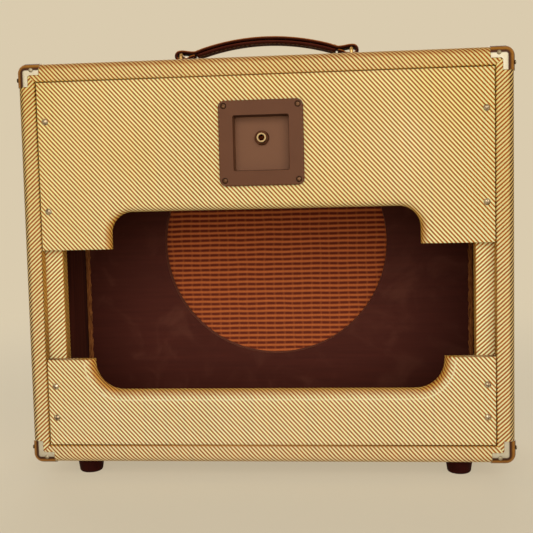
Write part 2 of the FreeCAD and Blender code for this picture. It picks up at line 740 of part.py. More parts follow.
def make_clip(middle_x):
    """Saddle of sheet metal over the ring's lower bar, with an ear each side."""
    inner = ring_wire_radius + hinge_gap
    outer = inner + clip_metal
    y = clip_width / 2
    low, high = Vector(middle_x, -y, pivot_z), Vector(middle_x, y, pivot_z)
    ear = clip_ear_length
    saddle = box(middle_x - outer, middle_x + outer, -y, y, shell_top, pivot_z)
    ears = box(middle_x - ear, middle_x + ear, -y, y, shell_top, shell_top + clip_metal)
    tunnel = box(middle_x - inner, middle_x + inner, -y, y, shell_top, pivot_z)
    below = box(middle_x - outer, middle_x + outer, -y, y, shell_top - outer, shell_top)
    saddle = saddle.multiFuse([rod(outer, low, high), ears])
    return saddle.cut([tunnel, rod(inner, low, high), below] + clip_holes).removeSplitter()


def make_handle_metal():
    for side, name in ((-1, "left"), (1, "right")):
        save("handle_ring_" + name, make_ring(side * pivot_x))
        save("handle_clip_" + name, make_clip(side * pivot_x))
    save("handle_clip_screws", [placed(cross_head_screw(*clip_screw), p, DOWN) for p in clip_screw_points])


# Feet: tapered rubber, bored from below for a washer and a screw.
def make_feet():
    washers = []
    screws = []
    for name, place in foot_places.items():
        base = Vector(place.x, place.y, 0)
        cone = Part.makeCone(foot_bottom_diameter / 2, foot_top_diameter / 2, foot_height, base, UP)
        bottom = [e for e in cone.Edges if abs(e.BoundBox.ZMax) < tiny]
        cone = cone.makeFillet(foot_edge_radius, bottom)
        web = base + UP * (foot_height - foot_web)
        bore = rod(foot_bore_diameter / 2, base, web)
        save(name, cone.cut([bore] + foot_holes))
        washer = rod(foot_washer_diameter / 2, base + UP * washer_bottom, web)
        washers.append(washer.cut(foot_holes))
        screws.append(placed(cross_head_screw(*foot_screw), base + UP * washer_bottom, UP))
    save("foot_washers", washers)
    save("foot_screws", screws)


os.makedirs("parts", exist_ok=True)
make_shell_boards()
make_shell_covering()
make_cleats()
make_back_panels()
make_baffle()
make_jack_dish()
make_jack()
make_corners()
make_handle_leather()
make_handle_metal()
make_feet()
print("handle pivots", pivot_x, pivot_z, "bar", bar_z, "speaker", speaker_centre, baffle_rear, baffle_front)
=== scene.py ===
import math
import bmesh
import bpy
from functools import partial
from mathutils import Matrix, Vector


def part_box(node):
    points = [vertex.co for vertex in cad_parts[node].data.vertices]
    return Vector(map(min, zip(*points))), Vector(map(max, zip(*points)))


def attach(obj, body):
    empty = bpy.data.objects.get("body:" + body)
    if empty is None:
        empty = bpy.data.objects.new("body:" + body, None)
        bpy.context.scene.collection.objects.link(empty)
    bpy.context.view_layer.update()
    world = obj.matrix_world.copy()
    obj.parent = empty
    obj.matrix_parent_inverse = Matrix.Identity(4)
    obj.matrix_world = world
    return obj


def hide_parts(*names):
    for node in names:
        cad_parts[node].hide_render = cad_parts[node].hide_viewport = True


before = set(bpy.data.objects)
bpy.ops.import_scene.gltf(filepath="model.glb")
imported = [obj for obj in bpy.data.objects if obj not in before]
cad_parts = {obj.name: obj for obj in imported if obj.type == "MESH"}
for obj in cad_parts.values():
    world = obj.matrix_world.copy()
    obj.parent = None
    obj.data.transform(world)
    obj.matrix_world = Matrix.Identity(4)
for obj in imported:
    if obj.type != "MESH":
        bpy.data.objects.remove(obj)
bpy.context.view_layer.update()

# Shell boards: four planed pine boards, finger-jointed and glued at the corners into a box.
# Their outsides lie under the covering, and their insides are stained dark brown,
# so that no pale wood shows through the open back.

mm = 0.001
AXIS_X, AXIS_Z = 0, 2
SMOOTH = {"interpolation_type": "SMOOTHSTEP"}
COLOURS = {"data_type": "RGBA"}
SHARE, UNDER, OVER = 0, 6, 7    # inputs of a colour mix: the second colour's share, then the two colours


def linear(hex_colour):
    """An sRGB hex colour as the linear colour that a shader takes."""
    shades = [int(hex_colour[i:i + 2], 16) / 255 for i in (1, 3, 5)]
    return [s / 12.92 if s <= 0.04045 else ((s + 0.055) / 1.055) ** 2.4 for s in shades] + [1.0]


def set_inputs(node, inputs):
    """Gives inputs their values, hex colours or links; a node stands for its first output in use."""
    for name, value in inputs.items():
        if isinstance(value, bpy.types.Node):
            value = next(output for output in value.outputs if output.enabled)
        if isinstance(value, bpy.types.NodeSocket):
            node.id_data.links.new(value, node.inputs[name])
        elif isinstance(value, str):
            node.inputs[name].default_value = linear(value)
        else:
            node.inputs[name].default_value = value


def add_node(tree, kind, inputs=None, **settings):
    """Adds a shader node with its settings, values and links."""
    node = tree.nodes.new("ShaderNode" + kind)
    for name, value in settings.items():
        setattr(node, name, value)
    set_inputs(node, inputs or {})
    return node


def start_material(name):
    """A new material, and the function that adds nodes to it."""
    material = bpy.data.materials.new(name)
    material.use_nodes = True
    return material, partial(add_node, material.node_tree)


def surface(material, colour, roughness, specular=0.5, metallic=0.0, height=None, strength=0.0, depth=0.0):
    """Gives a material its colour and its shine, and a relief if it has heights."""
    look = {"Base Color": colour, "Roughness": roughness, "Specular IOR Level": specular,
            "Metallic": metallic}
    if height is not None:
        relief = {"Height": height, "Strength": strength, "Distance": depth}
        look["Normal"] = add_node(material.node_tree, "Bump", relief)
    set_inputs(material.node_tree.nodes["Principled BSDF"], look)
    return material


def blend_colours(add, value, under, over, start, end, most=1.0):
    """Goes smoothly from one colour to another, or most of the way, as a value goes from start to end."""
    share = add("MapRange", {"Value": value, "From Min": start, "From Max": end, "To Max": most}, **SMOOTH)
    return add("Mix", {SHARE: share, UNDER: under, OVER: over}, **COLOURS)


def streaks(add, along, length, width, detail, distortion=0.0, place=None):
    """Streaks of a given length and width along one axis, as grain or yarn gives."""
    if place is None:
        place = add("TexCoord").outputs["Object"]
    stretch = [1 / width] * 3
    stretch[along] = 1 / length
    drawn = add("Mapping", {"Vector": place, "Scale": stretch})
    return add("TexNoise", {"Vector": drawn, "Scale": 1.0, "Detail": detail, "Distortion": distortion})


def dress(material, *nodes):
    """Gives CAD nodes their finished material."""
    for name in nodes:
        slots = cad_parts[name].data.materials
        slots.clear()
        slots.append(material)


def stained_pine(name, along):
    """Pine under a thin stain: long soft grain streaks along one axis, and a matt, slightly open surface."""
    material, add = start_material(name)
    grain = streaks(add, along, length=160 * mm, width=5 * mm, detail=5.0, distortion=0.6)
    colour = blend_colours(add, grain, "#5E2A1A", "#3E180F", start=0.35, end=0.7)
    return surface(material, colour, roughness=0.75, specular=0.2, height=grain, strength=0.3, depth=0.4 * mm)


dress(stained_pine("stained pine board, grain across", AXIS_X), "shell_top_board", "shell_bottom_board")
dress(stained_pine("stained pine board, grain upright", AXIS_Z), "shell_left_board", "shell_right_board")

# Shell tweed: one long strip of lacquered cotton twill, glued round the box and turned in over
# the front and rear edges, where its stripes meet in mitres at the corners.

shell_low, shell_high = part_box("shell_tweed")
board_low, board_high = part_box("shell_left_board")
shell_middle_z = (shell_low.z + shell_high.z) / 2
shell_half_width = shell_high.x
shell_half_height = (shell_high.z - shell_low.z) / 2
shell_heights = {"From Min": shell_low.z, "From Max": shell_high.z}
covering = board_low.x - shell_low.x
lining_inset = board_high.x - shell_low.x + covering
edge_round = 9.5 * mm
inner_edge_round = 2.0 * mm
grille_clearance = 0.3 * mm
rear_lining_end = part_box("cleat_tweed_left")[0].y
front_lining_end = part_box("grille_cloth")[1].y + grille_clearance
CLOTH_MAP = "cloth millimetres"
TINT = {"data_type": "RGBA", "blend_type": "MULTIPLY"}


def quarter_turn(steps):
    """Angles of a quarter turn, ends included."""
    return [math.pi / 2 * number / steps for number in range(steps + 1)]


def linked_piece(name, places, faces):
    """A new object in the scene, with a smooth mesh of these places and faces."""
    mesh = bpy.data.meshes.new(name)
    mesh.from_pydata(places, [], faces)
    mesh.polygons.foreach_set("use_smooth", [True] * len(mesh.polygons))
    piece = bpy.data.objects.new(name, mesh)
    bpy.context.scene.collection.objects.link(piece)
    return piece


def cloth_from_grids(name, grids):
    """One piece from grids of (place, place on the flat cloth), joined where they meet."""
    places = []
    numbers = {}
    faces = []
    flat_corners = []
    for rows in grids:
        for row, next_row in zip(rows, rows[1:]):
            for corners in zip(row, row[1:], next_row[1:], next_row):
                face = {}
                for place, flat_place in corners:
                    key = tuple(round(c / mm, 3) for c in place)
                    if key not in numbers:
                        numbers[key] = len(places)
                        places.append(place)
                    face.setdefault(numbers[key], flat_place)
                if len(face) > 2:
                    faces.append(list(face))
                    flat_corners.append(list(face.values()))
    piece = linked_piece(name, places, faces)
    flat_map = piece.data.uv_layers.new(name=CLOTH_MAP)
    for polygon, flat in zip(piece.data.polygons, flat_corners):
        for loop, flat_place in zip(polygon.loop_indices, flat):
            flat_map.data[loop].uv = [c / mm for c in flat_place]
    return piece


def finish_piece(piece, material, body, slot, *nodes):
    """Gives a new piece its material and its body, and hides the CAD nodes that it stands for; its slot is
    not used.
    """
    piece.data.materials.append(material)
    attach(piece, body)
    if nodes:
        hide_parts(*nodes)


def lay_cloth(piece, material, slot, node, flat_size, *boards):
    """Finishes a cloth that is stretched over boards of the cabinet and stands for one CAD node; its flat
    size and the boards are not used.
    """
    if slot == "tweed":
        piece.modifiers.new("even shading", "WEIGHTED_NORMAL")
    finish_piece(piece, material, "cabinet", slot, node)


def running_lengths(points):
    """How far along a line of points each of them lies."""
    lengths = [0.0]
    for (a, b), (next_a, next_b) in zip(points, points[1:]):
        lengths.append(lengths[-1] + math.hypot(next_a - a, next_b - b))
    return lengths


def box_sides(half_width, half_height):
    """A box's top, right, bottom and left: the way along, the way out, half the length, and the reach."""
    return [((1, 0), (0, 1), half_width, half_height), ((0, -1), (1, 0), half_height, half_width),
            ((-1, 0), (0, -1), half_width, half_height), ((0, 1), (-1, 0), half_height, half_width)]


def edge_profile():
    """The strip's way over the shell, from rear lining to front lining: inset from outside, and depth."""
    rear, front = shell_low.y, shell_high.y
    rim_inset = lining_inset - inner_edge_round
    rear_half = [(lining_inset, rear_lining_end)]
    for turn in quarter_turn(steps=3):
        rear_half.append((rim_inset + inner_edge_round * math.cos(turn),
                          rear + inner_edge_round * (1 - math.sin(turn))))
    for turn in quarter_turn(steps=8):
        rear_half.append((edge_round * (1 - math.sin(turn)), rear + edge_round * (1 - math.cos(turn))))
    front_half = [(inset, rear + front - y) for inset, y in reversed(rear_half[1:])]
    return rear_half + front_half + [(lining_inset, front_lining_end)]


def shell_strip():
    """Four sides of the box, each from one corner's middle to the next one's, and the strip's flat size."""
    profile = edge_profile()
    across = running_lengths(profile)
    corner_turns = [turn / 2 for turn in quarter_turn(steps=4)]
    half_corner = edge_round * math.pi / 4
    grids = []
    start = 0.0
    for along, outward, half_length, reach in box_sides(shell_half_width, shell_half_height):
        middle = start + half_length - edge_round + half_corner
        rows = []
        for (inset, y), cloth_across in zip(profile, across):
            bend = max(edge_round - inset, 0.0)
            straight = half_length - inset - bend
            row = []
            for end, turns in ((-1, reversed(corner_turns)), (1, corner_turns)):
                for turn in turns:
                    run = end * (straight + bend * math.sin(turn))
                    rise = reach - inset - bend * (1 - math.cos(turn))
                    x = along[0] * run + outward[0] * rise
                    z = along[1] * run + outward[1] * rise
                    cloth_along = middle + end * (straight + (edge_round * turn if bend else 0.0))
                    row.append(((x, y, shell_middle_z + z), (cloth_along, cloth_across)))
            rows.append(row)
        grids.append(rows)
        start = middle + half_length - edge_round + half_corner
    return grids, (start, across[-1])


def squareness(add, normal):
    """How squarely a surface faces one of the three axes: 1 on a flat side, and less on a rounding."""
    facing = add("VectorMath", {0: normal}, operation="ABSOLUTE")
    sides = add("SeparateXYZ", {"Vector": facing}).outputs
    larger = add("Math", {0: sides["X"], 1: sides["Y"]}, operation="MAXIMUM")
    return add("Math", {0: larger, 1: sides["Z"]}, operation="MAXIMUM")


def mottle(add, cloud_size, first, second, detail, place=None):
    """Soft clouds of a given size, and a colour that wanders with them between two shades."""
    if place is None:
        place = add("TexCoord").outputs["Object"]
    cloud = add("TexNoise", {"Vector": place, "Scale": 1 / cloud_size, "Detail": detail})
    return cloud, add("Mix", {SHARE: cloud, UNDER: first, OVER: second}, **COLOURS)


def twill_stripes(add, flat):
    """The weave in millimetres of flat cloth: the brown stripes, each thread's number and its rounded top.
    A stripe steps sideways from thread to thread, and wanders a little, as in real cloth."""
    stripe_along, stripe_across = 4.40, 4.84
    thread_width = stripe_along / 8
    brown_share, blur = 0.5, 0.06
    wander_size, wander_share = 18.0, 0.16
    ways = add("SeparateXYZ", {"Vector": flat}).outputs
    threads = add("Math", {0: ways["X"], 1: thread_width}, operation="DIVIDE")
    thread = add("Math", {0: threads}, operation="FLOOR")
    step = add("Math", {0: thread, 1: thread_width / stripe_along}, operation="MULTIPLY")
    phase = add("Math", {0: ways["Y"], 1: 1 / stripe_across, 2: step}, operation="MULTIPLY_ADD")
    wander = add("TexNoise", {"Vector": flat, "Scale": 1 / wander_size, "Detail": 2.0})
    phase = add("Math", {0: wander, 1: wander_share, 2: phase}, operation="MULTIPLY_ADD")
    turn = add("Math", {0: phase}, operation="FRACT")
    off_middle = add("Math", {0: turn, 1: 0.5}, operation="SUBTRACT")
    distance = add("Math", {0: off_middle}, operation="ABSOLUTE")
    brown = add("MapRange", {"Value": distance, "From Min": brown_share / 2 + blur,
                             "From Max": brown_share / 2 - blur}, **SMOOTH)
    in_thread = add("Math", {0: threads}, operation="FRACT")
    crown = add("Math", {0: in_thread, 1: 0.5}, operation="PINGPONG")
    return brown, thread, crown


def lacquered_tweed(name, on_box, face_y=0.0, crease=0.0):
    """Cotton twill tweed, cream yarn with brown yarn in diagonal stripes, under a thin amber lacquer.
    It shows crisp stripes, a fine upright thread and a low satin shine, browner where hands rub the edges.
    Painted shade darkens the brown yarn on the box's side roundings, deepens the amber towards the sides,
    gives the sides that look inward a deep amber, and darkens the seams; a painted highlight lies along
    a crease that stands proud of the flat face."""
    material, add = start_material(name)
    browning, side_shade_strength = (0.2, 2.0) if on_box else (0.0, 0.0)
    tuft_size = 1.6    # millimetres of flat cloth
    patch_size, seam_depth = 90 * mm, 4 * mm
    flat = add("UVMap", uv_map=CLOTH_MAP)
    place = add("TexCoord").outputs
    spot = add("SeparateXYZ", {"Vector": place["Object"]}).outputs
    facing = add("SeparateXYZ", {"Vector": place["Normal"]}).outputs
    brown, thread, crown = twill_stripes(add, flat)

    # Yarn: the brown one gets painted shade on the roundings at the box's sides.
    _, cream = mottle(add, tuft_size, "#FDFCD2", "#F6F2B2", detail=3.0, place=flat)
    thread_tone = add("TexWhiteNoise", {"W": thread}, noise_dimensions="1D")
    rust = add("Mix", {SHARE: thread_tone, UNDER: "#BE6A08", OVER: "#9A5204"}, **COLOURS)
    rounded = add("MapRange", {"Value": squareness(add, place["Normal"]), "From Min": 0.998,
                               "From Max": 0.86}, **SMOOTH)
    sideways = add("Math", {0: facing["X"]}, operation="ABSOLUTE")
    side_shading = add("Math", {0: sideways, 1: side_shade_strength}, operation="MULTIPLY", use_clamp=True)
    side_round_shade = add("Math", {0: rounded, 1: side_shading}, operation="MULTIPLY")
    rust = add("Mix", {SHARE: side_round_shade, UNDER: rust, OVER: "#481A05"}, **COLOURS)
    colour = add("Mix", {SHARE: brown, UNDER: cream, OVER: rust}, **COLOURS)

    # Amber tint: in patches of lacquer, deeper towards the top, and deeper towards the sides as painted
    # shade.
    lacquer = add("TexNoise", {"Vector": place["Object"], "Scale": 1 / patch_size, "Detail": 3.0})
    patchy = add("MapRange", {"Value": lacquer, "From Min": 0.3, "From Max": 0.7, "To Max": 0.22})
    upward = add("MapRange", {"Value": spot["Z"], "To Min": -0.15, "To Max": 0.35, **shell_heights})
    # Painted shade: the amber deepens towards the box's sides.
    aside = add("Math", {0: spot["X"]}, operation="ABSOLUTE")
    outward = add("MapRange", {"Value": aside, "From Min": 0.6 * shell_half_width,
                               "From Max": shell_half_width, "To Max": 0.22})
    amber = add("Math", {0: patchy, 1: upward}, operation="ADD")
    amber = add("Math", {0: amber, 1: outward}, operation="ADD", use_clamp=True)
    aged_and_shaded = add("Mix", {SHARE: amber, UNDER: colour, OVER: "#F0E096"}, **TINT)

    # Handling: browner on the roundings, except those that face the ground.
    not_under = add("MapRange", {"Value": facing["Z"], "From Min": -0.4, "From Max": 0.0, "To Max": 0.4})
    handled = add("Math", {0: rounded, 1: not_under, 2: browning}, operation="MULTIPLY_ADD")
    aged_and_shaded = add("Mix", {SHARE: handled, UNDER: aged_and_shaded, OVER: "#CC9040"}, **TINT)

    # Sides that look inward get a deep amber painted shade, and a crease gets a painted highlight.
    from_middle = add("VectorMath", {0: place["Object"], 1: (0.0, 0.0, shell_middle_z)},
                      operation="SUBTRACT")
    outside = add("VectorMath", {0: place["Normal"], 1: from_middle}, operation="DOT_PRODUCT")
    inward_shade = add("MapRange", {"Value": outside, "From Min": 0.0, "From Max": -0.1, "To Max": 0.9})
    aged_and_shaded = add("Mix", {SHARE: inward_shade, UNDER: aged_and_shaded, OVER: "#FFDA84"}, **TINT)
    if crease:
        # Painted highlight along the crease at the cut-out.
        crease_highlight = add("MapRange", {"Value": spot["Y"], "From Min": face_y, "From Max": face_y - crease,
                                  "To Max": 0.5})
        aged_and_shaded = add("Mix", {SHARE: crease_highlight, UNDER: aged_and_shaded, OVER: "#FFF2C4"}, **COLOURS)

    # Painted shade in the seams: stronger near the top, and most on the brown yarn.
    openness = add("AmbientOcclusion", {"Distance": seam_depth}, samples=6).outputs["AO"]
    seam = add("MapRange", {"Value": openness, "From Min": 0.65, "From Max": 0.35})
    shade_to_top = add("MapRange", {"Value": spot["Z"], "To Min": 0.25, "To Max": 0.85, **shell_heights})
    seam_shade = add("Math", {0: seam, 1: shade_to_top}, operation="MULTIPLY")
    on_brown_yarn = add("MapRange", {"Value": brown, "To Min": 0.25})
    seam_shade = add("Math", {0: seam_shade, 1: on_brown_yarn}, operation="MULTIPLY")
    seam_shaded = add("Mix", {SHARE: seam_shade, UNDER: aged_and_shaded, OVER: "#3C1206"}, **TINT)
    weave = add("Math", {0: brown, 1: -0.6, 2: crown}, operation="MULTIPLY_ADD")
    return surface(material, seam_shaded, roughness=0.65, specular=0.15, height=weave, strength=0.5, depth=0.3 * mm)


box_tweed = lacquered_tweed("lacquered cotton twill tweed, browned on the box", on_box=True)
strip_grids, strip_size = shell_strip()
shell_tweed = cloth_from_grids("shell_tweed_strip", strip_grids)
lay_cloth(shell_tweed, box_tweed, "tweed", "shell_tweed", strip_size,
          "shell_top_board", "shell_bottom_board", "shell_left_board", "shell_right_board")

# Rear cleats: a pine strip glued up each side board, which the back panels screw to.
# Each has its own narrow strip of the tweed, folded round its inner edge.

dress(stained_pine("stained pine cleat", AXIS_Z), "rear_cleat_left", "rear_cleat_right")


def cleat_strip(side, low, high):
    """From the side board across the cleat's rear face, round its edge and forward along its inner face."""
    outer = max(abs(low.x), abs(high.x))
    inner = min(abs(low.x), abs(high.x))
    fold = 1.4 * mm
    section = [(outer, low.y)]
    for turn in quarter_turn(steps=4):
        section.append((inner + fold * (1 - math.sin(turn)), low.y + fold * (1 - math.cos(turn))))
    section.append((inner, high.y))
    across = running_lengths(section)
    rows = []
    for (x, y), cloth_across in zip(section, across):
        row = [((side * x, y, z), (z, side * (cloth_across - outer))) for z in (low.z, high.z)]
        rows.append(row if side > 0 else row[::-1])
    return rows, across[-1]


tweed = lacquered_tweed("lacquered cotton twill tweed", on_box=False)
for side, name in ((-1, "left"), (1, "right")):
    low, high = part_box("cleat_tweed_" + name)
    rows, cloth_width = cleat_strip(side, low, high)
    strip = cloth_from_grids("cleat_tweed_strip_" + name, [rows])
    lay_cloth(strip, tweed, "tweed", "cleat_tweed_" + name, (cloth_width, high.z - low.z),
              "rear_cleat_" + name)

# Baffle: a plywood board with one round hole, painted dark brown, screwed to two battens
# that are glued to the top and bottom boards.


def painted_plywood():
    """Flat dark brown paint over plywood: a faint roller texture with the veneer's grain just showing,
    soft dusty scuffs, and paler sawn edges, partly thin paint and partly a painted highlight."""
    material, add = start_material("dark brown paint on plywood")
    roller_size, scuff_size = 2.5 * mm, 45 * mm
    place = add("TexCoord").outputs
    grain = streaks(add, AXIS_X, length=90 * mm, width=4 * mm, detail=4.0)
    paint = add("Mix", {SHARE: grain, UNDER: "#572315", OVER: "#43190D"}, **COLOURS)
    roller = add("TexNoise", {"Vector": place["Object"], "Scale": 1 / roller_size, "Detail": 2.0})
    scuff = add("TexNoise", {"Vector": place["Object"], "Scale": 1 / scuff_size, "Detail": 6.0,
                             "Distortion": 1.2})
    dusty = blend_colours(add, scuff, paint, "#6E3C2A", start=0.45, end=0.8, most=0.45)
    # Paler sawn edges: partly thin paint, partly a painted highlight.
    facing = add("SeparateXYZ", {"Vector": place["Normal"]}).outputs
    flat_face = add("Math", {0: facing["Y"]}, operation="ABSOLUTE")
    colour = add("Mix", {SHARE: flat_face, UNDER: "#7E5240", OVER: dusty}, **COLOURS)
    height = add("Math", {0: grain, 1: roller}, operation="ADD")
    return surface(material, colour, roughness=0.7, specular=0.15,
                   height=height, strength=0.25, depth=0.3 * mm)


dress(painted_plywood(), "baffle_board")
dress(stained_pine("stained pine batten", AXIS_X), "baffle_batten_bottom", "baffle_batten_top")

# Grille cloth: a coarse ribbed cloth stretched over the front of the baffle. Thick rust yarns lie
# side by side, held by thin upright yarns, and the hem is turned over the edges and stapled behind.

cloth_low, cloth_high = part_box("grille_cloth")
hem_low, hem_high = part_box("grille_cloth_hem")
baffle_low, baffle_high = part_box("baffle_board")
rib_pitch = 6.06 * mm
rib_height = 0.35 * mm
hem_widths = [6.5 * mm, 4.2 * mm, 6.5 * mm, 4.8 * mm]    # top, right, bottom and left


def grille_sheet():
    """The stretched front, with a rounded rib for each thick yarn."""
    rib_steps = 10
    middle_y = (cloth_low.y + cloth_high.y) / 2
    count = round((cloth_high.z - cloth_low.z) / rib_pitch) * rib_steps
    rows = []
    for number in range(count + 1):
        z = cloth_low.z + (cloth_high.z - cloth_low.z) * number / count
        y = middle_y - rib_height * math.cos(2 * math.pi * number / rib_steps)
        rows.append([((x, y, z), (x, z)) for x in (cloth_low.x, 0.0, cloth_high.x)])
    return rows


def ribbed_cloth():
    """Ribbed grille cloth: thick yarns with dark gaps that upright yarns cross, a rust reverse that shows
    inside the box, brightened as painted light for the dim box, and a deeper oxblood on the face."""
    material, add = start_material("ribbed rust grille cloth")
    upright_pitch, wander_size = 11.3, 30.0    # millimetres of flat cloth, as the twist's sizes are
    rib_wander, upright_wander = 0.25, 0.5
    twist_angle, twist_width, twist_length = 0.6, 0.9, 3.0
    first_rib = cloth_low.z / rib_pitch + rib_wander / 2
    flat = add("UVMap", uv_map=CLOTH_MAP)
    ways = add("SeparateXYZ", {"Vector": flat}).outputs
    wander = add("TexNoise", {"Vector": flat, "Scale": 1 / wander_size, "Detail": 1.0})
    rib = add("Math", {0: ways["Y"], 1: mm / rib_pitch, 2: -first_rib}, operation="MULTIPLY_ADD")
    rib = add("Math", {0: wander, 1: rib_wander, 2: rib}, operation="MULTIPLY_ADD")
    rib_off = add("Math", {0: rib, 1: 0.5}, operation="PINGPONG")
    gap = add("MapRange", {"Value": rib_off, "From Min": 0.08, "From Max": 0.37}, **SMOOTH)
    upright = add("Math", {0: ways["X"], 1: upright_pitch}, operation="DIVIDE")
    upright = add("Math", {0: wander, 1: upright_wander, 2: upright}, operation="MULTIPLY_ADD")
    upright_off = add("Math", {0: upright, 1: 0.5}, operation="PINGPONG")
    crossing = add("MapRange", {"Value": upright_off, "From Min": 0.16, "From Max": 0.04, "To Max": 0.26},
                   **SMOOTH)
    open_gap = add("Math", {0: 1.0, 1: crossing}, operation="SUBTRACT")
    dark = add("Math", {0: gap, 1: open_gap}, operation="MULTIPLY")
    twisted = add("Mapping", {"Vector": flat, "Rotation": (0, 0, twist_angle),
                              "Scale": (1 / twist_width, 1 / twist_length, 1.0)})
    # Painted light: the reverse's rust is brightened for the dim inside of the box.
    twist, rust = mottle(add, 1.0, "#E07A3C", "#B0552A", detail=2.0, place=twisted)
    reverse = add("Mix", {SHARE: dark, UNDER: rust, OVER: "#6C2916"}, **COLOURS)
    oxblood = add("Mix", {SHARE: twist, UNDER: "#8C4228", OVER: "#642818"}, **COLOURS)
    face = add("Mix", {SHARE: dark, UNDER: oxblood, OVER: "#34120A"}, **COLOURS)
    side = add("NewGeometry").outputs["Backfacing"]
    colour = add("Mix", {SHARE: side, UNDER: reverse, OVER: face}, **COLOURS)
    return surface(material, colour, roughness=0.85, specular=0.15,
                   height=twist, strength=0.5, depth=0.4 * mm)


def frayed_hem():
    """The cloth's turned-in edge: dusty brown yarn ends along the strip, with no pattern left to see."""
    material, add = start_material("frayed grille cloth edge")
    yarn_length, yarn_width = 9.0, 0.8    # millimetres of flat cloth
    flat = add("UVMap", uv_map=CLOTH_MAP)
    streak = streaks(add, AXIS_X, yarn_length, yarn_width, detail=4.0, place=flat)
    tone = add("MapRange", {"Value": streak, "From Min": 0.3, "From Max": 0.7})
    colour = add("Mix", {SHARE: tone, UNDER: "#CC7E40", OVER: "#5A2610"}, **COLOURS)
    return surface(material, colour, roughness=0.9, specular=0.1, height=streak, strength=0.5, depth=0.4 * mm)


def grille_hem():
    """Four strips, over the baffle's edge and flat behind it to an uneven cut end, narrower at the sides."""
    rear = hem_low.y
    middle_z = (baffle_low.z + baffle_high.z) / 2
    edge = baffle_low.x - hem_low.x
    steps = 120
    fray, short_wave, long_wave = 0.8 * mm, 1.7, 0.61
    sides = box_sides(hem_high.x, (hem_high.z - hem_low.z) / 2)
    grids = []
    for (along, outward, half_length, reach), width in zip(sides, hem_widths):
        rows = []
        for inset, y in ((0.0, cloth_low.y), (0.0, rear + edge / 2), (edge / 2, rear), (edge + width, rear)):
            row = []
            for number in range(steps + 1):
                run = (2 * number / steps - 1) * (half_length - inset)
                rise = reach - inset
                if inset > edge and 0 < number < steps:
                    rise += fray * math.sin(number * short_wave) * math.sin(number * long_wave)
                x = along[0] * run + outward[0] * rise
                z = along[1] * run + outward[1] * rise
                row.append(((x, y, middle_z + z), (run, inset - y)))
            rows.append(row)
        grids.append(rows[::-1])
    return grids


grille = cloth_from_grids("grille_cloth_sheet", [grille_sheet()])
lay_cloth(grille, ribbed_cloth(), "grille_cloth", "grille_cloth",
          (cloth_high.x - cloth_low.x, cloth_high.z - cloth_low.z), "baffle_board")
hem = cloth_from_grids("grille_cloth_turned_hem", grille_hem())
hem_length = 2 * (hem_high.x - hem_low.x + hem_high.z - hem_low.z)
turned_in = cloth_low.y - hem_low.y + max(hem_widths)
lay_cloth(hem, frayed_hem(), "grille_cloth", "grille_cloth_hem", (hem_length, turned_in), "baffle_board")

# Staples and screws: wire staples hold the hem to the back of the baffle, and steel screws hold
# the baffle to its battens. All are plated with nickel, which has dulled.


def plated_steel(name, bright, worn, roughness):
    """Plated or bright metal: warm, with a slight cloudy tarnish, fine polish marks, and brown soiling
    with painted shade in its slots and crevices."""
    material, add = start_material(name)
    cloud_size, mark_size, crevice = 6 * mm, 0.8 * mm, 1.5 * mm
    place = add("TexCoord").outputs
    cloud = add("TexNoise", {"Vector": place["Object"], "Scale": 1 / cloud_size, "Detail": 4.0})
    clean = blend_colours(add, cloud, bright, worn, start=0.42, end=0.72)
    # Brown grime and painted shade in slots and crevices.
    openness = add("AmbientOcclusion", {"Distance": crevice}, samples=6).outputs["AO"]
    grime_and_shade = add("MapRange", {"Value": openness, "From Min": 0.75, "From Max": 0.4, "To Max": 0.9})
    colour = add("Mix", {SHARE: grime_and_shade, UNDER: clean, OVER: "#2A1608"}, **COLOURS)
    shine = add("MapRange", {"Value": cloud, "From Min": 0.3, "From Max": 0.7, "To Min": roughness,
                             "To Max": roughness + 0.15})
    marks = add("TexNoise", {"Vector": place["Object"], "Scale": 1 / mark_size, "Detail": 2.0})
    return surface(material, colour, roughness=shine, metallic=1.0,
                   height=marks, strength=0.08, depth=0.1 * mm)


screw_nickel = plated_steel("nickel-plated screw steel", "#C8B698", "#7A6040", roughness=0.2)
dress(screw_nickel, "grille_staples", "baffle_screws")

# Back panels: two plywood boards, with tabs at their ends and a round-cornered cut-out between them.
# Each has one piece of tweed over its rear face, turned in round its edges, and four screws.


def bare_plywood():
    """Sanded birch plywood: pale veneer with fine streaks along the panel."""
    material, add = start_material("sanded birch plywood")
    grain = streaks(add, AXIS_X, length=120 * mm, width=3 * mm, detail=5.0, distortion=0.4)
    colour = add("Mix", {SHARE: grain, UNDER: "#C79B66", OVER: "#8F6236"}, **COLOURS)
    return surface(material, colour, roughness=0.7, height=grain, strength=0.2, depth=0.2 * mm)


dress(bare_plywood(), "upper_back_panel", "lower_back_panel")
dress(screw_nickel, "upper_panel_screws", "lower_panel_screws")
dish_low, dish_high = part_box("jack_dish")
dish_overlap = 12 * mm
cutout_round = 8.8 * mm
turned_edge_round = 1.0 * mm


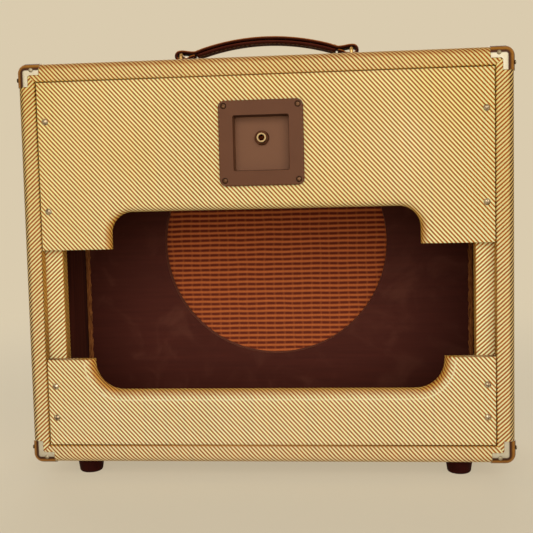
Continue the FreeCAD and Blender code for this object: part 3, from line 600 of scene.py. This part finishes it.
def panel_outline(half, height, cutout, tab_width, corner_radius):
    """Outline points from the tabs' ends at height 0: place, then each edge's way inward and its rounding."""
    tab_x = half - tab_width
    small, large = turned_edge_round, cutout_round
    run_out = large + 4 * mm
    corner_x, corner_h = tab_x - corner_radius, cutout - corner_radius
    right_half = [((corner_x, cutout), [((0, 1), large)])]
    for turn in quarter_turn(steps=10)[1:]:
        way = (math.sin(turn), math.cos(turn))
        spot = (corner_x + corner_radius * way[0], corner_h + corner_radius * way[1])
        right_half.append((spot, [(way, large)]))
    right_half += [((tab_x, 0), [((1, 0), large), ((0, 1), small)]),
                   ((tab_x + run_out, 0), [((0, 1), small)]),
                   ((half, 0), [((0, 1), small), ((-1, 0), small)]),
                   ((half, height), [((-1, 0), small), ((0, -1), small)])]
    left_half = []
    for (x, h), edges in reversed(right_half):
        left_half.append(((-x, h), [((-way[0], way[1]), rounding) for way, rounding in edges]))
    return right_half + left_half


def edge_way(rounding, thickness, crease):
    """The cloth's way over one edge: inset, depth, and place on the flat cloth measured in from the edge."""
    crease_step = 1.3 * mm
    ridge = crease if rounding == cutout_round else 0.0
    way = [(rounding + 2 * crease_step, 0.0, rounding + 2 * crease_step),
           (rounding + crease_step, -ridge, rounding + crease_step)]
    for turn in quarter_turn(steps=7):
        way.append((rounding * (1 - math.sin(turn)), rounding * (1 - math.cos(turn)), rounding * (1 - turn)))
    way.append((0.0, thickness, rounding * (2 - math.pi / 2) - thickness))
    return way


def panel_rows(outline, thickness, crease, to_place):
    """Rows from the flat rear face, over each edge's rounding, to the panel's front."""
    ways = {rounding: edge_way(rounding, thickness, crease) for rounding in (turned_edge_round, cutout_round)}
    rows = []
    for step in range(len(ways[cutout_round])):
        row = []
        for (x, h), edges in outline + outline[:1]:
            depths = []
            flat_x, flat_h = x, h
            for way, rounding in edges:
                inset, depth, flat_inset = ways[rounding][step]
                x += way[0] * inset
                h += way[1] * inset
                flat_x += way[0] * flat_inset
                flat_h += way[1] * flat_inset
                depths.append(depth)
            row.append((to_place(x, max(depths), h), (flat_x, to_place(0.0, 0.0, flat_h)[2])))
        rows.append(row)
    return rows


def fill_panel_face(piece, face_y, window):
    """Fills the flat rear face up to the first row, round the window for the jack dish if there is one."""
    on_face = 0.01 * mm
    shape = bmesh.new()
    shape.from_mesh(piece.data)
    flat_map = shape.loops.layers.uv[CLOTH_MAP]
    edges = []
    for edge in shape.edges:
        if edge.is_boundary and all(abs(v.co.y - face_y) < on_face for v in edge.verts):
            edges.append(edge)
    if window:
        corners = [shape.verts.new((x, face_y, z)) for x, z in window]
        edges += [shape.edges.new((a, b)) for a, b in zip(corners, corners[1:] + corners[:1])]
    filled = bmesh.ops.triangle_fill(shape, use_beauty=True, edges=edges, normal=(0, -1, 0))
    for face in filled["geom"]:
        if isinstance(face, bmesh.types.BMFace):
            face.smooth = True
            face.normal_update()
            if face.normal.y > 0:
                face.normal_flip()
            for loop in face.loops:
                loop[flat_map].uv = (loop.vert.co.x / mm, loop.vert.co.z / mm)
    shape.to_mesh(piece.data)
    shape.free()


def cover_panel(name, up, cutout, tab_width, corner_radius, crease=0.0, window=()):
    """Covers a panel in tweed; its tabs point down where up is 1, and up where it is -1."""
    low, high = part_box(name + "_back_tweed")
    tab_end = low.z if up > 0 else high.z
    width, thickness, height = high - low

    def to_place(x, depth, h):
        return (x, low.y + depth, tab_end + up * h)

    outline = panel_outline(high.x, height, cutout, tab_width, corner_radius)
    rows = panel_rows(outline, thickness, crease, to_place)
    if up > 0:
        rows = [row[::-1] for row in rows]
    piece = cloth_from_grids(name + "_back_tweed_sheet", [rows])
    fill_panel_face(piece, low.y, window)
    cover = tweed
    if crease:
        cover = lacquered_tweed("lacquered cotton twill tweed, creased along the cut-out", on_box=False,
                                face_y=low.y, crease=crease)
    lay_cloth(piece, cover, "tweed", name + "_back_tweed", (width + 2 * thickness, height + 2 * thickness),
              name + "_back_panel")


window_x = dish_high.x - dish_overlap
window_low, window_high = dish_low.z + dish_overlap, dish_high.z - dish_overlap
dish_window = [(-window_x, window_low), (window_x, window_low),
               (window_x, window_high), (-window_x, window_high)]
cover_panel("upper", up=1, cutout=38.8 * mm, tab_width=73.5 * mm, corner_radius=22.0 * mm, window=dish_window)
cover_panel("lower", up=-1, cutout=33.5 * mm, tab_width=50.5 * mm, corner_radius=30.0 * mm, crease=0.3 * mm)

# Jack dish: a brown plate moulded in ABS, with a square recess that keeps the plug out of the way.
# Four screws in counterbores hold it over a window in the upper panel.


def moulded_brown_abs():
    """Brown ABS with a fine spark-eroded texture from its mould: even colour and a soft broad shine,
    a little paler in the recess as painted light, and painted shade on its walls and edges, most where they
    face down."""
    material, add = start_material("moulded brown ABS")
    grit_size, cloud_size = 0.7 * mm, 25 * mm
    recess_start, recess_end = dish_low.y + 2 * mm, dish_low.y + 6 * mm
    place = add("TexCoord").outputs
    spot = add("SeparateXYZ", {"Vector": place["Object"]}).outputs
    facing = add("SeparateXYZ", {"Vector": place["Normal"]}).outputs
    grit = add("TexNoise", {"Vector": place["Object"], "Scale": 1 / grit_size, "Detail": 2.0})
    _, even = mottle(add, cloud_size, "#673E23", "#5D361D", detail=2.0)
    # Painted light: the recess floor is a little paler.
    colour = blend_colours(add, spot["Y"], even, "#774E33", start=recess_start, end=recess_end)
    # Painted shade: darker walls and edges, most where they face down.
    flat_face = add("Math", {0: facing["Y"]}, operation="ABSOLUTE")
    wall_shade = add("MapRange", {"Value": flat_face, "From Min": 0.9, "From Max": 0.3}, **SMOOTH)
    downward_shade = add("MapRange", {"Value": facing["Z"], "From Min": 0.0, "From Max": -0.8, "To Min": 0.3,
                                "To Max": 0.9})
    shaded = add("Math", {0: wall_shade, 1: downward_shade}, operation="MULTIPLY")
    colour = add("Mix", {SHARE: shaded, UNDER: colour, OVER: "#482A1C"}, **COLOURS)
    return surface(material, colour, roughness=0.55, specular=0.2, height=grit, strength=0.3, depth=0.12 * mm)


dress(moulded_brown_abs(), "jack_dish")
dress(plated_steel("bronzed screw steel", "#76563E", "#4E3422", roughness=0.4), "jack_dish_screws")

# Jack: a bush and frame of nickel-plated brass, held by a washer and a blackened nut, with a riveted
# stack of fibre pads that carries the tip terminal and its brass contact leaf.

bush_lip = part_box("jack_frame")[0].y


def pressed_fibre():
    """Vulcanised fibre: dense red-brown paper board with a fine speckle."""
    material, add = start_material("vulcanised fibre")
    speckle_size = 0.5 * mm
    _, colour = mottle(add, speckle_size, "#7A4428", "#4E2816", detail=3.0)
    return surface(material, colour, roughness=0.65)


def bush_with_shaded_bore():
    """Nickel-plated brass: plugs rub the lip bright, and behind the lip the bore and the frame get a nearly
    black painted shade.
    """
    material, add = start_material("nickel-plated brass, painted shade in the bore")
    bright_end, shade_start = bush_lip + 0.1 * mm, bush_lip + 0.5 * mm
    cloud_size = 4 * mm
    spot = add("SeparateXYZ", {"Vector": add("TexCoord").outputs["Object"]}).outputs
    _, bright = mottle(add, cloud_size, "#A28C64", "#725A3A", detail=3.0)
    # Painted shade: nearly black behind the lip, in the bore and on the frame.
    colour = blend_colours(add, spot["Y"], "#1C100A", bright, start=shade_start, end=bright_end)
    return surface(material, colour, metallic=1.0, roughness=0.4)


dress(bush_with_shaded_bore(), "jack_frame")
dress(plated_steel("blackened nut steel", "#4A2C1C", "#2C180C", roughness=0.45), "jack_nut", "jack_washer")
spring_brass = plated_steel("spring brass", "#E2C070", "#A98440", roughness=0.25)
dress(spring_brass, "jack_tip_terminal", "jack_tip_leaf", "jack_rivets")
dress(pressed_fibre(), "jack_insulators")

# Corners: pressed steel caps over the eight corners of the box, nickel-plated, each held
# by three round-headed pins.


def corner_nickel_with_painted_reflections():
    """Nickel plate on pressed steel: pale and cloudy on the flat legs, with golden and dark brown painted
    reflections on the rounds.
    """
    material, add = start_material("nickel-plated corner steel, worn on the rounds")
    worn, kept = math.cos(math.radians(17)), math.cos(math.radians(8))
    cloud_size, mark_size = 5 * mm, 0.8 * mm
    place = add("TexCoord").outputs
    flatness = squareness(add, place["Normal"])
    cloud, pale = mottle(add, cloud_size, "#D2C8B0", "#B0A488", detail=4.0)
    # Painted reflections on the rounds: golden where they turn most, dark brown next to the flat legs.
    golden = add("Mix", {SHARE: cloud, UNDER: "#BE8228", OVER: "#8C5612"}, **COLOURS)
    rounds = blend_colours(add, flatness, golden, "#431F08", start=0.76, end=0.93)
    colour = blend_colours(add, flatness, rounds, pale, start=worn, end=kept)
    marks = add("TexNoise", {"Vector": place["Object"], "Scale": 1 / mark_size, "Detail": 2.0})
    return surface(material, colour, metallic=0.6, roughness=0.5, height=marks, strength=0.1, depth=0.1 * mm)


corner_nickel = corner_nickel_with_painted_reflections()
for across in ("left", "right"):
    for depth in ("rear", "front"):
        dress(corner_nickel, "corner_" + depth + "_bottom_" + across, "corner_" + depth + "_top_" + across)
dress(plated_steel("dull nickel-plated pin steel", "#A89C84", "#766648", roughness=0.5), "corner_pins")

# Handle metal: wire rings that the leather hangs on, and pressed clips that hold each ring
# to the top board with two screws.

handle_nickel = plated_steel("worn nickel-plated handle wire", "#C9A468", "#7C5426", roughness=0.3)
dress(handle_nickel, "handle_ring_left", "handle_ring_right", "handle_clip_left", "handle_clip_right")
dress(screw_nickel, "handle_clip_screws")

# Handle leather: a long strap arched between the rings, turned round each ring and back under,
# with a second leather sewn beneath it over a stiff core strip.

upper_low, upper_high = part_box("handle_upper_leather")
lower_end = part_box("handle_lower_leather")[1].x
ring_low, ring_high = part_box("handle_ring_right")
strap_half_width = upper_high.y
strap_thickness = 3.6 * mm
strap_crown = 0.3 * mm
under_thickness = 3.2 * mm
core_gap = 1.0 * mm
arch_radius = 250.0 * mm
arch_centre_z = upper_high.z - arch_radius
loop_x = (ring_low.x + ring_high.x) / 2
loop_leather = 3.2 * mm
loop_half_straight = 2.0 * mm
loop_half_height = 4.5 * mm
loop_z = upper_low.z + loop_half_height + loop_leather / 2


def arch_point(radius, angle):
    """A point of the handle's arch, at an angle from its top."""
    return Vector((radius * math.sin(angle), 0.0, arch_centre_z + radius * math.cos(angle)))


def smooth_path(points, steps):
    """Points on a smooth curve that passes through each of the given ones."""
    path = []
    ends = [2 * points[0] - points[1]] + points + [2 * points[-1] - points[-2]]
    for a, b, c, d in zip(ends, ends[1:], ends[2:], ends[3:]):
        for number in range(steps):
            t = number / steps
            path.append(0.5 * (2 * b + (c - a) * t + (2 * a - 5 * b + 4 * c - d) * t * t
                               + (3 * b - a - 3 * c + d) * t ** 3))
    return path + [points[-1]]


def strap_path():
    """Middle line of the upper strap: from its tucked end, round the right ring, over the arch and back."""
    steps = 8
    tail = ((14.5 * mm, 0.4 * mm), (10.0 * mm, 1.6 * mm), (5.5 * mm, 3.9 * mm))
    arch_inset = 13.5 * mm
    right = [Vector((loop_x - inset, 0.0, loop_z - drop)) for inset, drop in tail]
    for number in range(steps + 1):
        turn = math.pi * number / steps
        right.append(Vector((loop_x + loop_half_straight + loop_half_height * math.sin(turn), 0.0,
                             loop_z - loop_half_height * math.cos(turn))))
    right.append(Vector((loop_x - loop_half_straight, 0.0, loop_z + loop_half_height)))
    end_angle = math.asin((loop_x - arch_inset) / arch_radius)
    for number in range(steps + 1):
        right.append(arch_point(arch_radius - strap_thickness / 2, end_angle * (1 - number / steps)))
    left = [Vector((-p.x, 0.0, p.z)) for p in reversed(right[:-1])]
    return smooth_path(right + left, steps=4)


def strap_section(thickness, crown):
    """Closed outline of a strap: across, and up from its middle, with rounded edges and a crown on top."""
    edge = 1.4 * mm
    half = thickness / 2
    outline = []
    for side, level in ((1, -1), (1, 1), (-1, 1), (-1, -1)):
        turns = quarter_turn(steps=4)
        if side * level > 0:
            turns.reverse()
        for turn in turns:
            outline.append((side * (strap_half_width - edge + edge * math.sin(turn)),
                            level * (half - edge + edge * math.cos(turn))))
        if (side, level) == (1, 1):
            for share in (0.5, 0.0, -0.5):
                outline.append((strap_half_width * share, half + crown * (1 - share * share)))
    return outline


def tube_faces(first, rings, sides):
    """Faces of a closed tube whose rings of places start at a number: its skin and both ends."""
    faces = []
    for ring in range(rings - 1):
        start = first + ring * sides
        for k in range(sides):
            a, b = start + k, start + (k + 1) % sides
            faces.append((a, a + sides, b + sides, b))
    last = first + (rings - 1) * sides
    faces.append(tuple(range(first, first + sides)))
    faces.append(tuple(reversed(range(last, last + sides))))
    return faces


def sweep(name, path, section):
    """A closed strap along a path in the plane of the arch."""
    places = []
    for number, point in enumerate(path):
        before = path[max(number - 1, 0)]
        after = path[min(number + 1, len(path) - 1)]
        along = (after - before).normalized()
        up = Vector((along.z, 0.0, -along.x))
        for across, rise in section:
            places.append(point + Vector((0.0, across, 0.0)) + up * rise)
    return linked_piece(name, places, tube_faces(0, len(path), len(section)))


def waxed_leather(name, edge_colour):
    """Vegetable-tanned leather, dyed dark brown and waxed: fine pebbled grain, and paler upper edges, partly
    worn by hands and partly a painted highlight.
    """
    material, add = start_material(name)
    pebble_size, cloud_size = 1.1 * mm, 14 * mm
    place = add("TexCoord").outputs
    facing = add("SeparateXYZ", {"Vector": place["Normal"]}).outputs
    pebble = add("TexVoronoi", {"Vector": place["Object"], "Scale": 1 / pebble_size},
                 feature="SMOOTH_F1").outputs["Distance"]
    cloud, dyed = mottle(add, cloud_size, "#45180B", "#240A04", detail=4.0)
    upward = add("MapRange", {"Value": facing["Z"], "From Min": 0.0, "From Max": 0.6, "To Max": 0.9},
                 **SMOOTH)
    sideways = add("Math", {0: facing["Y"]}, operation="ABSOLUTE")
    edge = add("MapRange", {"Value": sideways, "From Min": 0.1, "From Max": 0.5}, **SMOOTH)
    # Upper edges that face up and sideways: partly worn by hands, partly a painted highlight.
    rubbed_and_lit = add("Math", {0: upward, 1: edge}, operation="MULTIPLY")
    colour = add("Mix", {SHARE: rubbed_and_lit, UNDER: dyed, OVER: edge_colour}, **COLOURS)
    shine = add("MapRange", {"Value": cloud, "From Min": 0.3, "From Max": 0.7, "To Min": 0.55,
                             "To Max": 0.75})
    return surface(material, colour, roughness=shine, specular=0.05,
                   height=pebble, strength=0.25, depth=0.25 * mm)


def waxed_thread():
    """Waxed linen thread, dyed brown, with a slight sheen."""
    material, add = start_material("waxed linen thread")
    twist_size = 0.6 * mm
    _, colour = mottle(add, twist_size, "#8A5A34", "#5A341C", detail=2.0)
    return surface(material, colour, roughness=0.55)


upper_strap = sweep("handle_upper_strap", strap_path(), strap_section(loop_leather, strap_crown))
finish_piece(upper_strap, waxed_leather("waxed brown leather, worn edges with painted highlight", "#B0662A"), "strap",
             "handle_leather", "handle_upper_leather")

half_steps = 20
under_top = arch_radius - strap_thickness - core_gap
lower_radius = under_top - under_thickness / 2
lower_angle = math.asin(lower_end / under_top)
lower_path = [arch_point(lower_radius, lower_angle * (1 - number / half_steps))
              for number in range(2 * half_steps + 1)]
lower_strap = sweep("handle_lower_strap", lower_path, strap_section(under_thickness, 0.0))
finish_piece(lower_strap, waxed_leather("waxed brown leather", "#5E2616"), "strap",
             "handle_leather", "handle_lower_leather")
dress(plated_steel("blackened core steel", "#2C1A12", "#1A0E09", roughness=0.6), "handle_core_strip")


def stitch_row(name, radius, half_angle, across, outward):
    """A row of short raised stitches along the strap, each a small bead with narrow ends."""
    pitch, length, width, rise = 5.0 * mm, 3.6 * mm, 0.9 * mm, 0.35 * mm
    sides, steps = 8, 6
    narrowest = 0.2
    count = int(2 * half_angle * radius / pitch)
    places = []
    faces = []
    for number in range(count + 1):
        middle = -half_angle + 2 * half_angle * number / count
        faces += tube_faces(len(places), steps + 1, sides)
        for step in range(steps + 1):
            share = 2 * step / steps - 1
            angle = middle + share * length / 2 / radius
            swell = math.sqrt(max(1 - share * share, narrowest ** 2))
            for k in range(sides):
                turn = 2 * math.pi * k / sides
                place = arch_point(radius + outward * rise * swell * math.cos(turn), angle)
                place.y = across + outward * width / 2 * swell * math.sin(turn)
                places.append(place)
    return linked_piece(name, places, faces)


linen_thread = waxed_thread()
stitch_inset = 4.0 * mm
stitched_angle = 0.97 * lower_angle
under_bottom = under_top - under_thickness
for side, name in ((-1, "rear"), (1, "front")):
    across = side * (strap_half_width - stitch_inset)
    for level, radius, outward in (("top", arch_radius, 1), ("under", under_bottom, -1)):
        row = stitch_row("handle_" + level + "_stitches_" + name, radius, stitched_angle, across, outward)
        finish_piece(row, linen_thread, "strap", "handle_leather")

# Feet: four round feet moulded in black-brown rubber, near the corners of the bottom board.
# Each has a steel washer in its hollow and a screw up its middle.


def moulded_rubber():
    """Moulded rubber: nearly black, dusty matt, with a fine even texture."""
    material, add = start_material("moulded black-brown rubber")
    dust_size = 5 * mm
    dust, colour = mottle(add, dust_size, "#380B05", "#200502", detail=4.0)
    return surface(material, colour, roughness=0.7, specular=0.08, height=dust, strength=0.2, depth=0.2 * mm)


dress(moulded_rubber(), "foot_rear_left", "foot_rear_right", "foot_front_left", "foot_front_right")
dress(screw_nickel, "foot_washers", "foot_screws")

# Studio: pale seamless paper under and behind the object, two large soft lamps, and the camera
# at the photograph's viewing angle. The paper's far part and the world have one beige, so no horizon shows.

paper_beige = "#DACBAE"
paper_half = 12.0
softbox_width, softbox_height = 4.4, 2.8


def background_rays(add):
    """1 for the rays that see the background: from the camera, in a reflection or through glass."""
    path = add("LightPath").outputs
    seen = add("Math", {0: path["Is Camera Ray"], 1: path["Is Glossy Ray"]}, operation="MAXIMUM")
    return add("Math", {0: seen, 1: path["Is Transmission Ray"]}, operation="MAXIMUM")


def seamless_paper():
    """Matt seamless paper: it takes the object's soft shadow nearby, and fades to an even beige far off."""
    material, add = start_material("seamless beige paper")
    near, far = 0.45, 1.6
    mottle_size = 400 * mm
    place = add("TexCoord").outputs
    _, colour = mottle(add, mottle_size, "#EADFC8", "#E4D8C0", detail=2.0)
    surface(material, colour, roughness=1.0, specular=0.0)
    distance = add("VectorMath", {0: place["Object"]}, operation="LENGTH")
    fade = add("MapRange", {"Value": distance, "From Min": near, "From Max": far}, **SMOOTH)
    fade = add("MapRange", {"Value": fade, "To Min": 0.65})
    fade = add("Math", {0: fade, 1: background_rays(add)}, operation="MULTIPLY")
    glow = add("Emission", {"Color": paper_beige, "Strength": 1.0})
    nodes = material.node_tree.nodes
    blend = add("MixShader", {0: fade, 1: nodes["Principled BSDF"], 2: glow})
    set_inputs(nodes["Material Output"], {"Surface": blend})
    return material


paper_corners = [(x * paper_half, y * paper_half, 0) for x, y in ((-1, -1), (1, -1), (1, 1), (-1, 1))]
floor = linked_piece("studio_floor", paper_corners, [(0, 1, 2, 3)])
floor.data.materials.append(seamless_paper())

world = bpy.data.worlds.new("studio")
bpy.context.scene.world = world
world.use_nodes = True
add_air = partial(add_node, world.node_tree)
ambient = add_air("Background", {"Color": "#FFFFFF", "Strength": 0.2})
backdrop = add_air("Background", {"Color": paper_beige, "Strength": 1.0})
sky = add_air("MixShader", {0: background_rays(add_air), 1: ambient, 2: backdrop})
set_inputs(world.node_tree.nodes["World Output"], {"Surface": sky})


def softbox(name, place, power):
    """A large soft lamp that the camera doesn't see, aimed at the middle of the cabinet."""
    lamp = bpy.data.lights.new(name, "AREA")
    lamp.shape = "RECTANGLE"
    lamp.size = softbox_width
    lamp.size_y = softbox_height
    lamp.energy = power
    holder = bpy.data.objects.new(name, lamp)
    holder.location = place
    holder.rotation_mode = "QUATERNION"
    aim = Vector((0.0, 0.0, shell_middle_z)) - Vector(place)
    holder.rotation_quaternion = aim.to_track_quat("-Z", "Y")
    holder.visible_camera = False
    bpy.context.scene.collection.objects.link(holder)


softbox("rear_softbox", place=(0.4, -3.0, 1.2), power=95.0)
softbox("front_softbox", place=(-0.4, 3.0, 1.7), power=76.0)

camera = bpy.data.cameras.new("camera")
camera.sensor_width = 36.0
camera.lens = 56.58
camera_place = (0.07851, -0.94944, 0.28826)
right = Vector((0.995977, 0.086512, -0.023364))
up = Vector((0.017007, 0.073501, 0.997151))
turn = Matrix((right, up, right.cross(up))).transposed()
camera_holder = bpy.data.objects.new("camera", camera)
camera_holder.matrix_world = Matrix.Translation(camera_place) @ turn.to_4x4()
bpy.context.scene.collection.objects.link(camera_holder)
bpy.context.scene.camera = camera_holder
bpy.context.scene.view_settings.view_transform = "Standard"
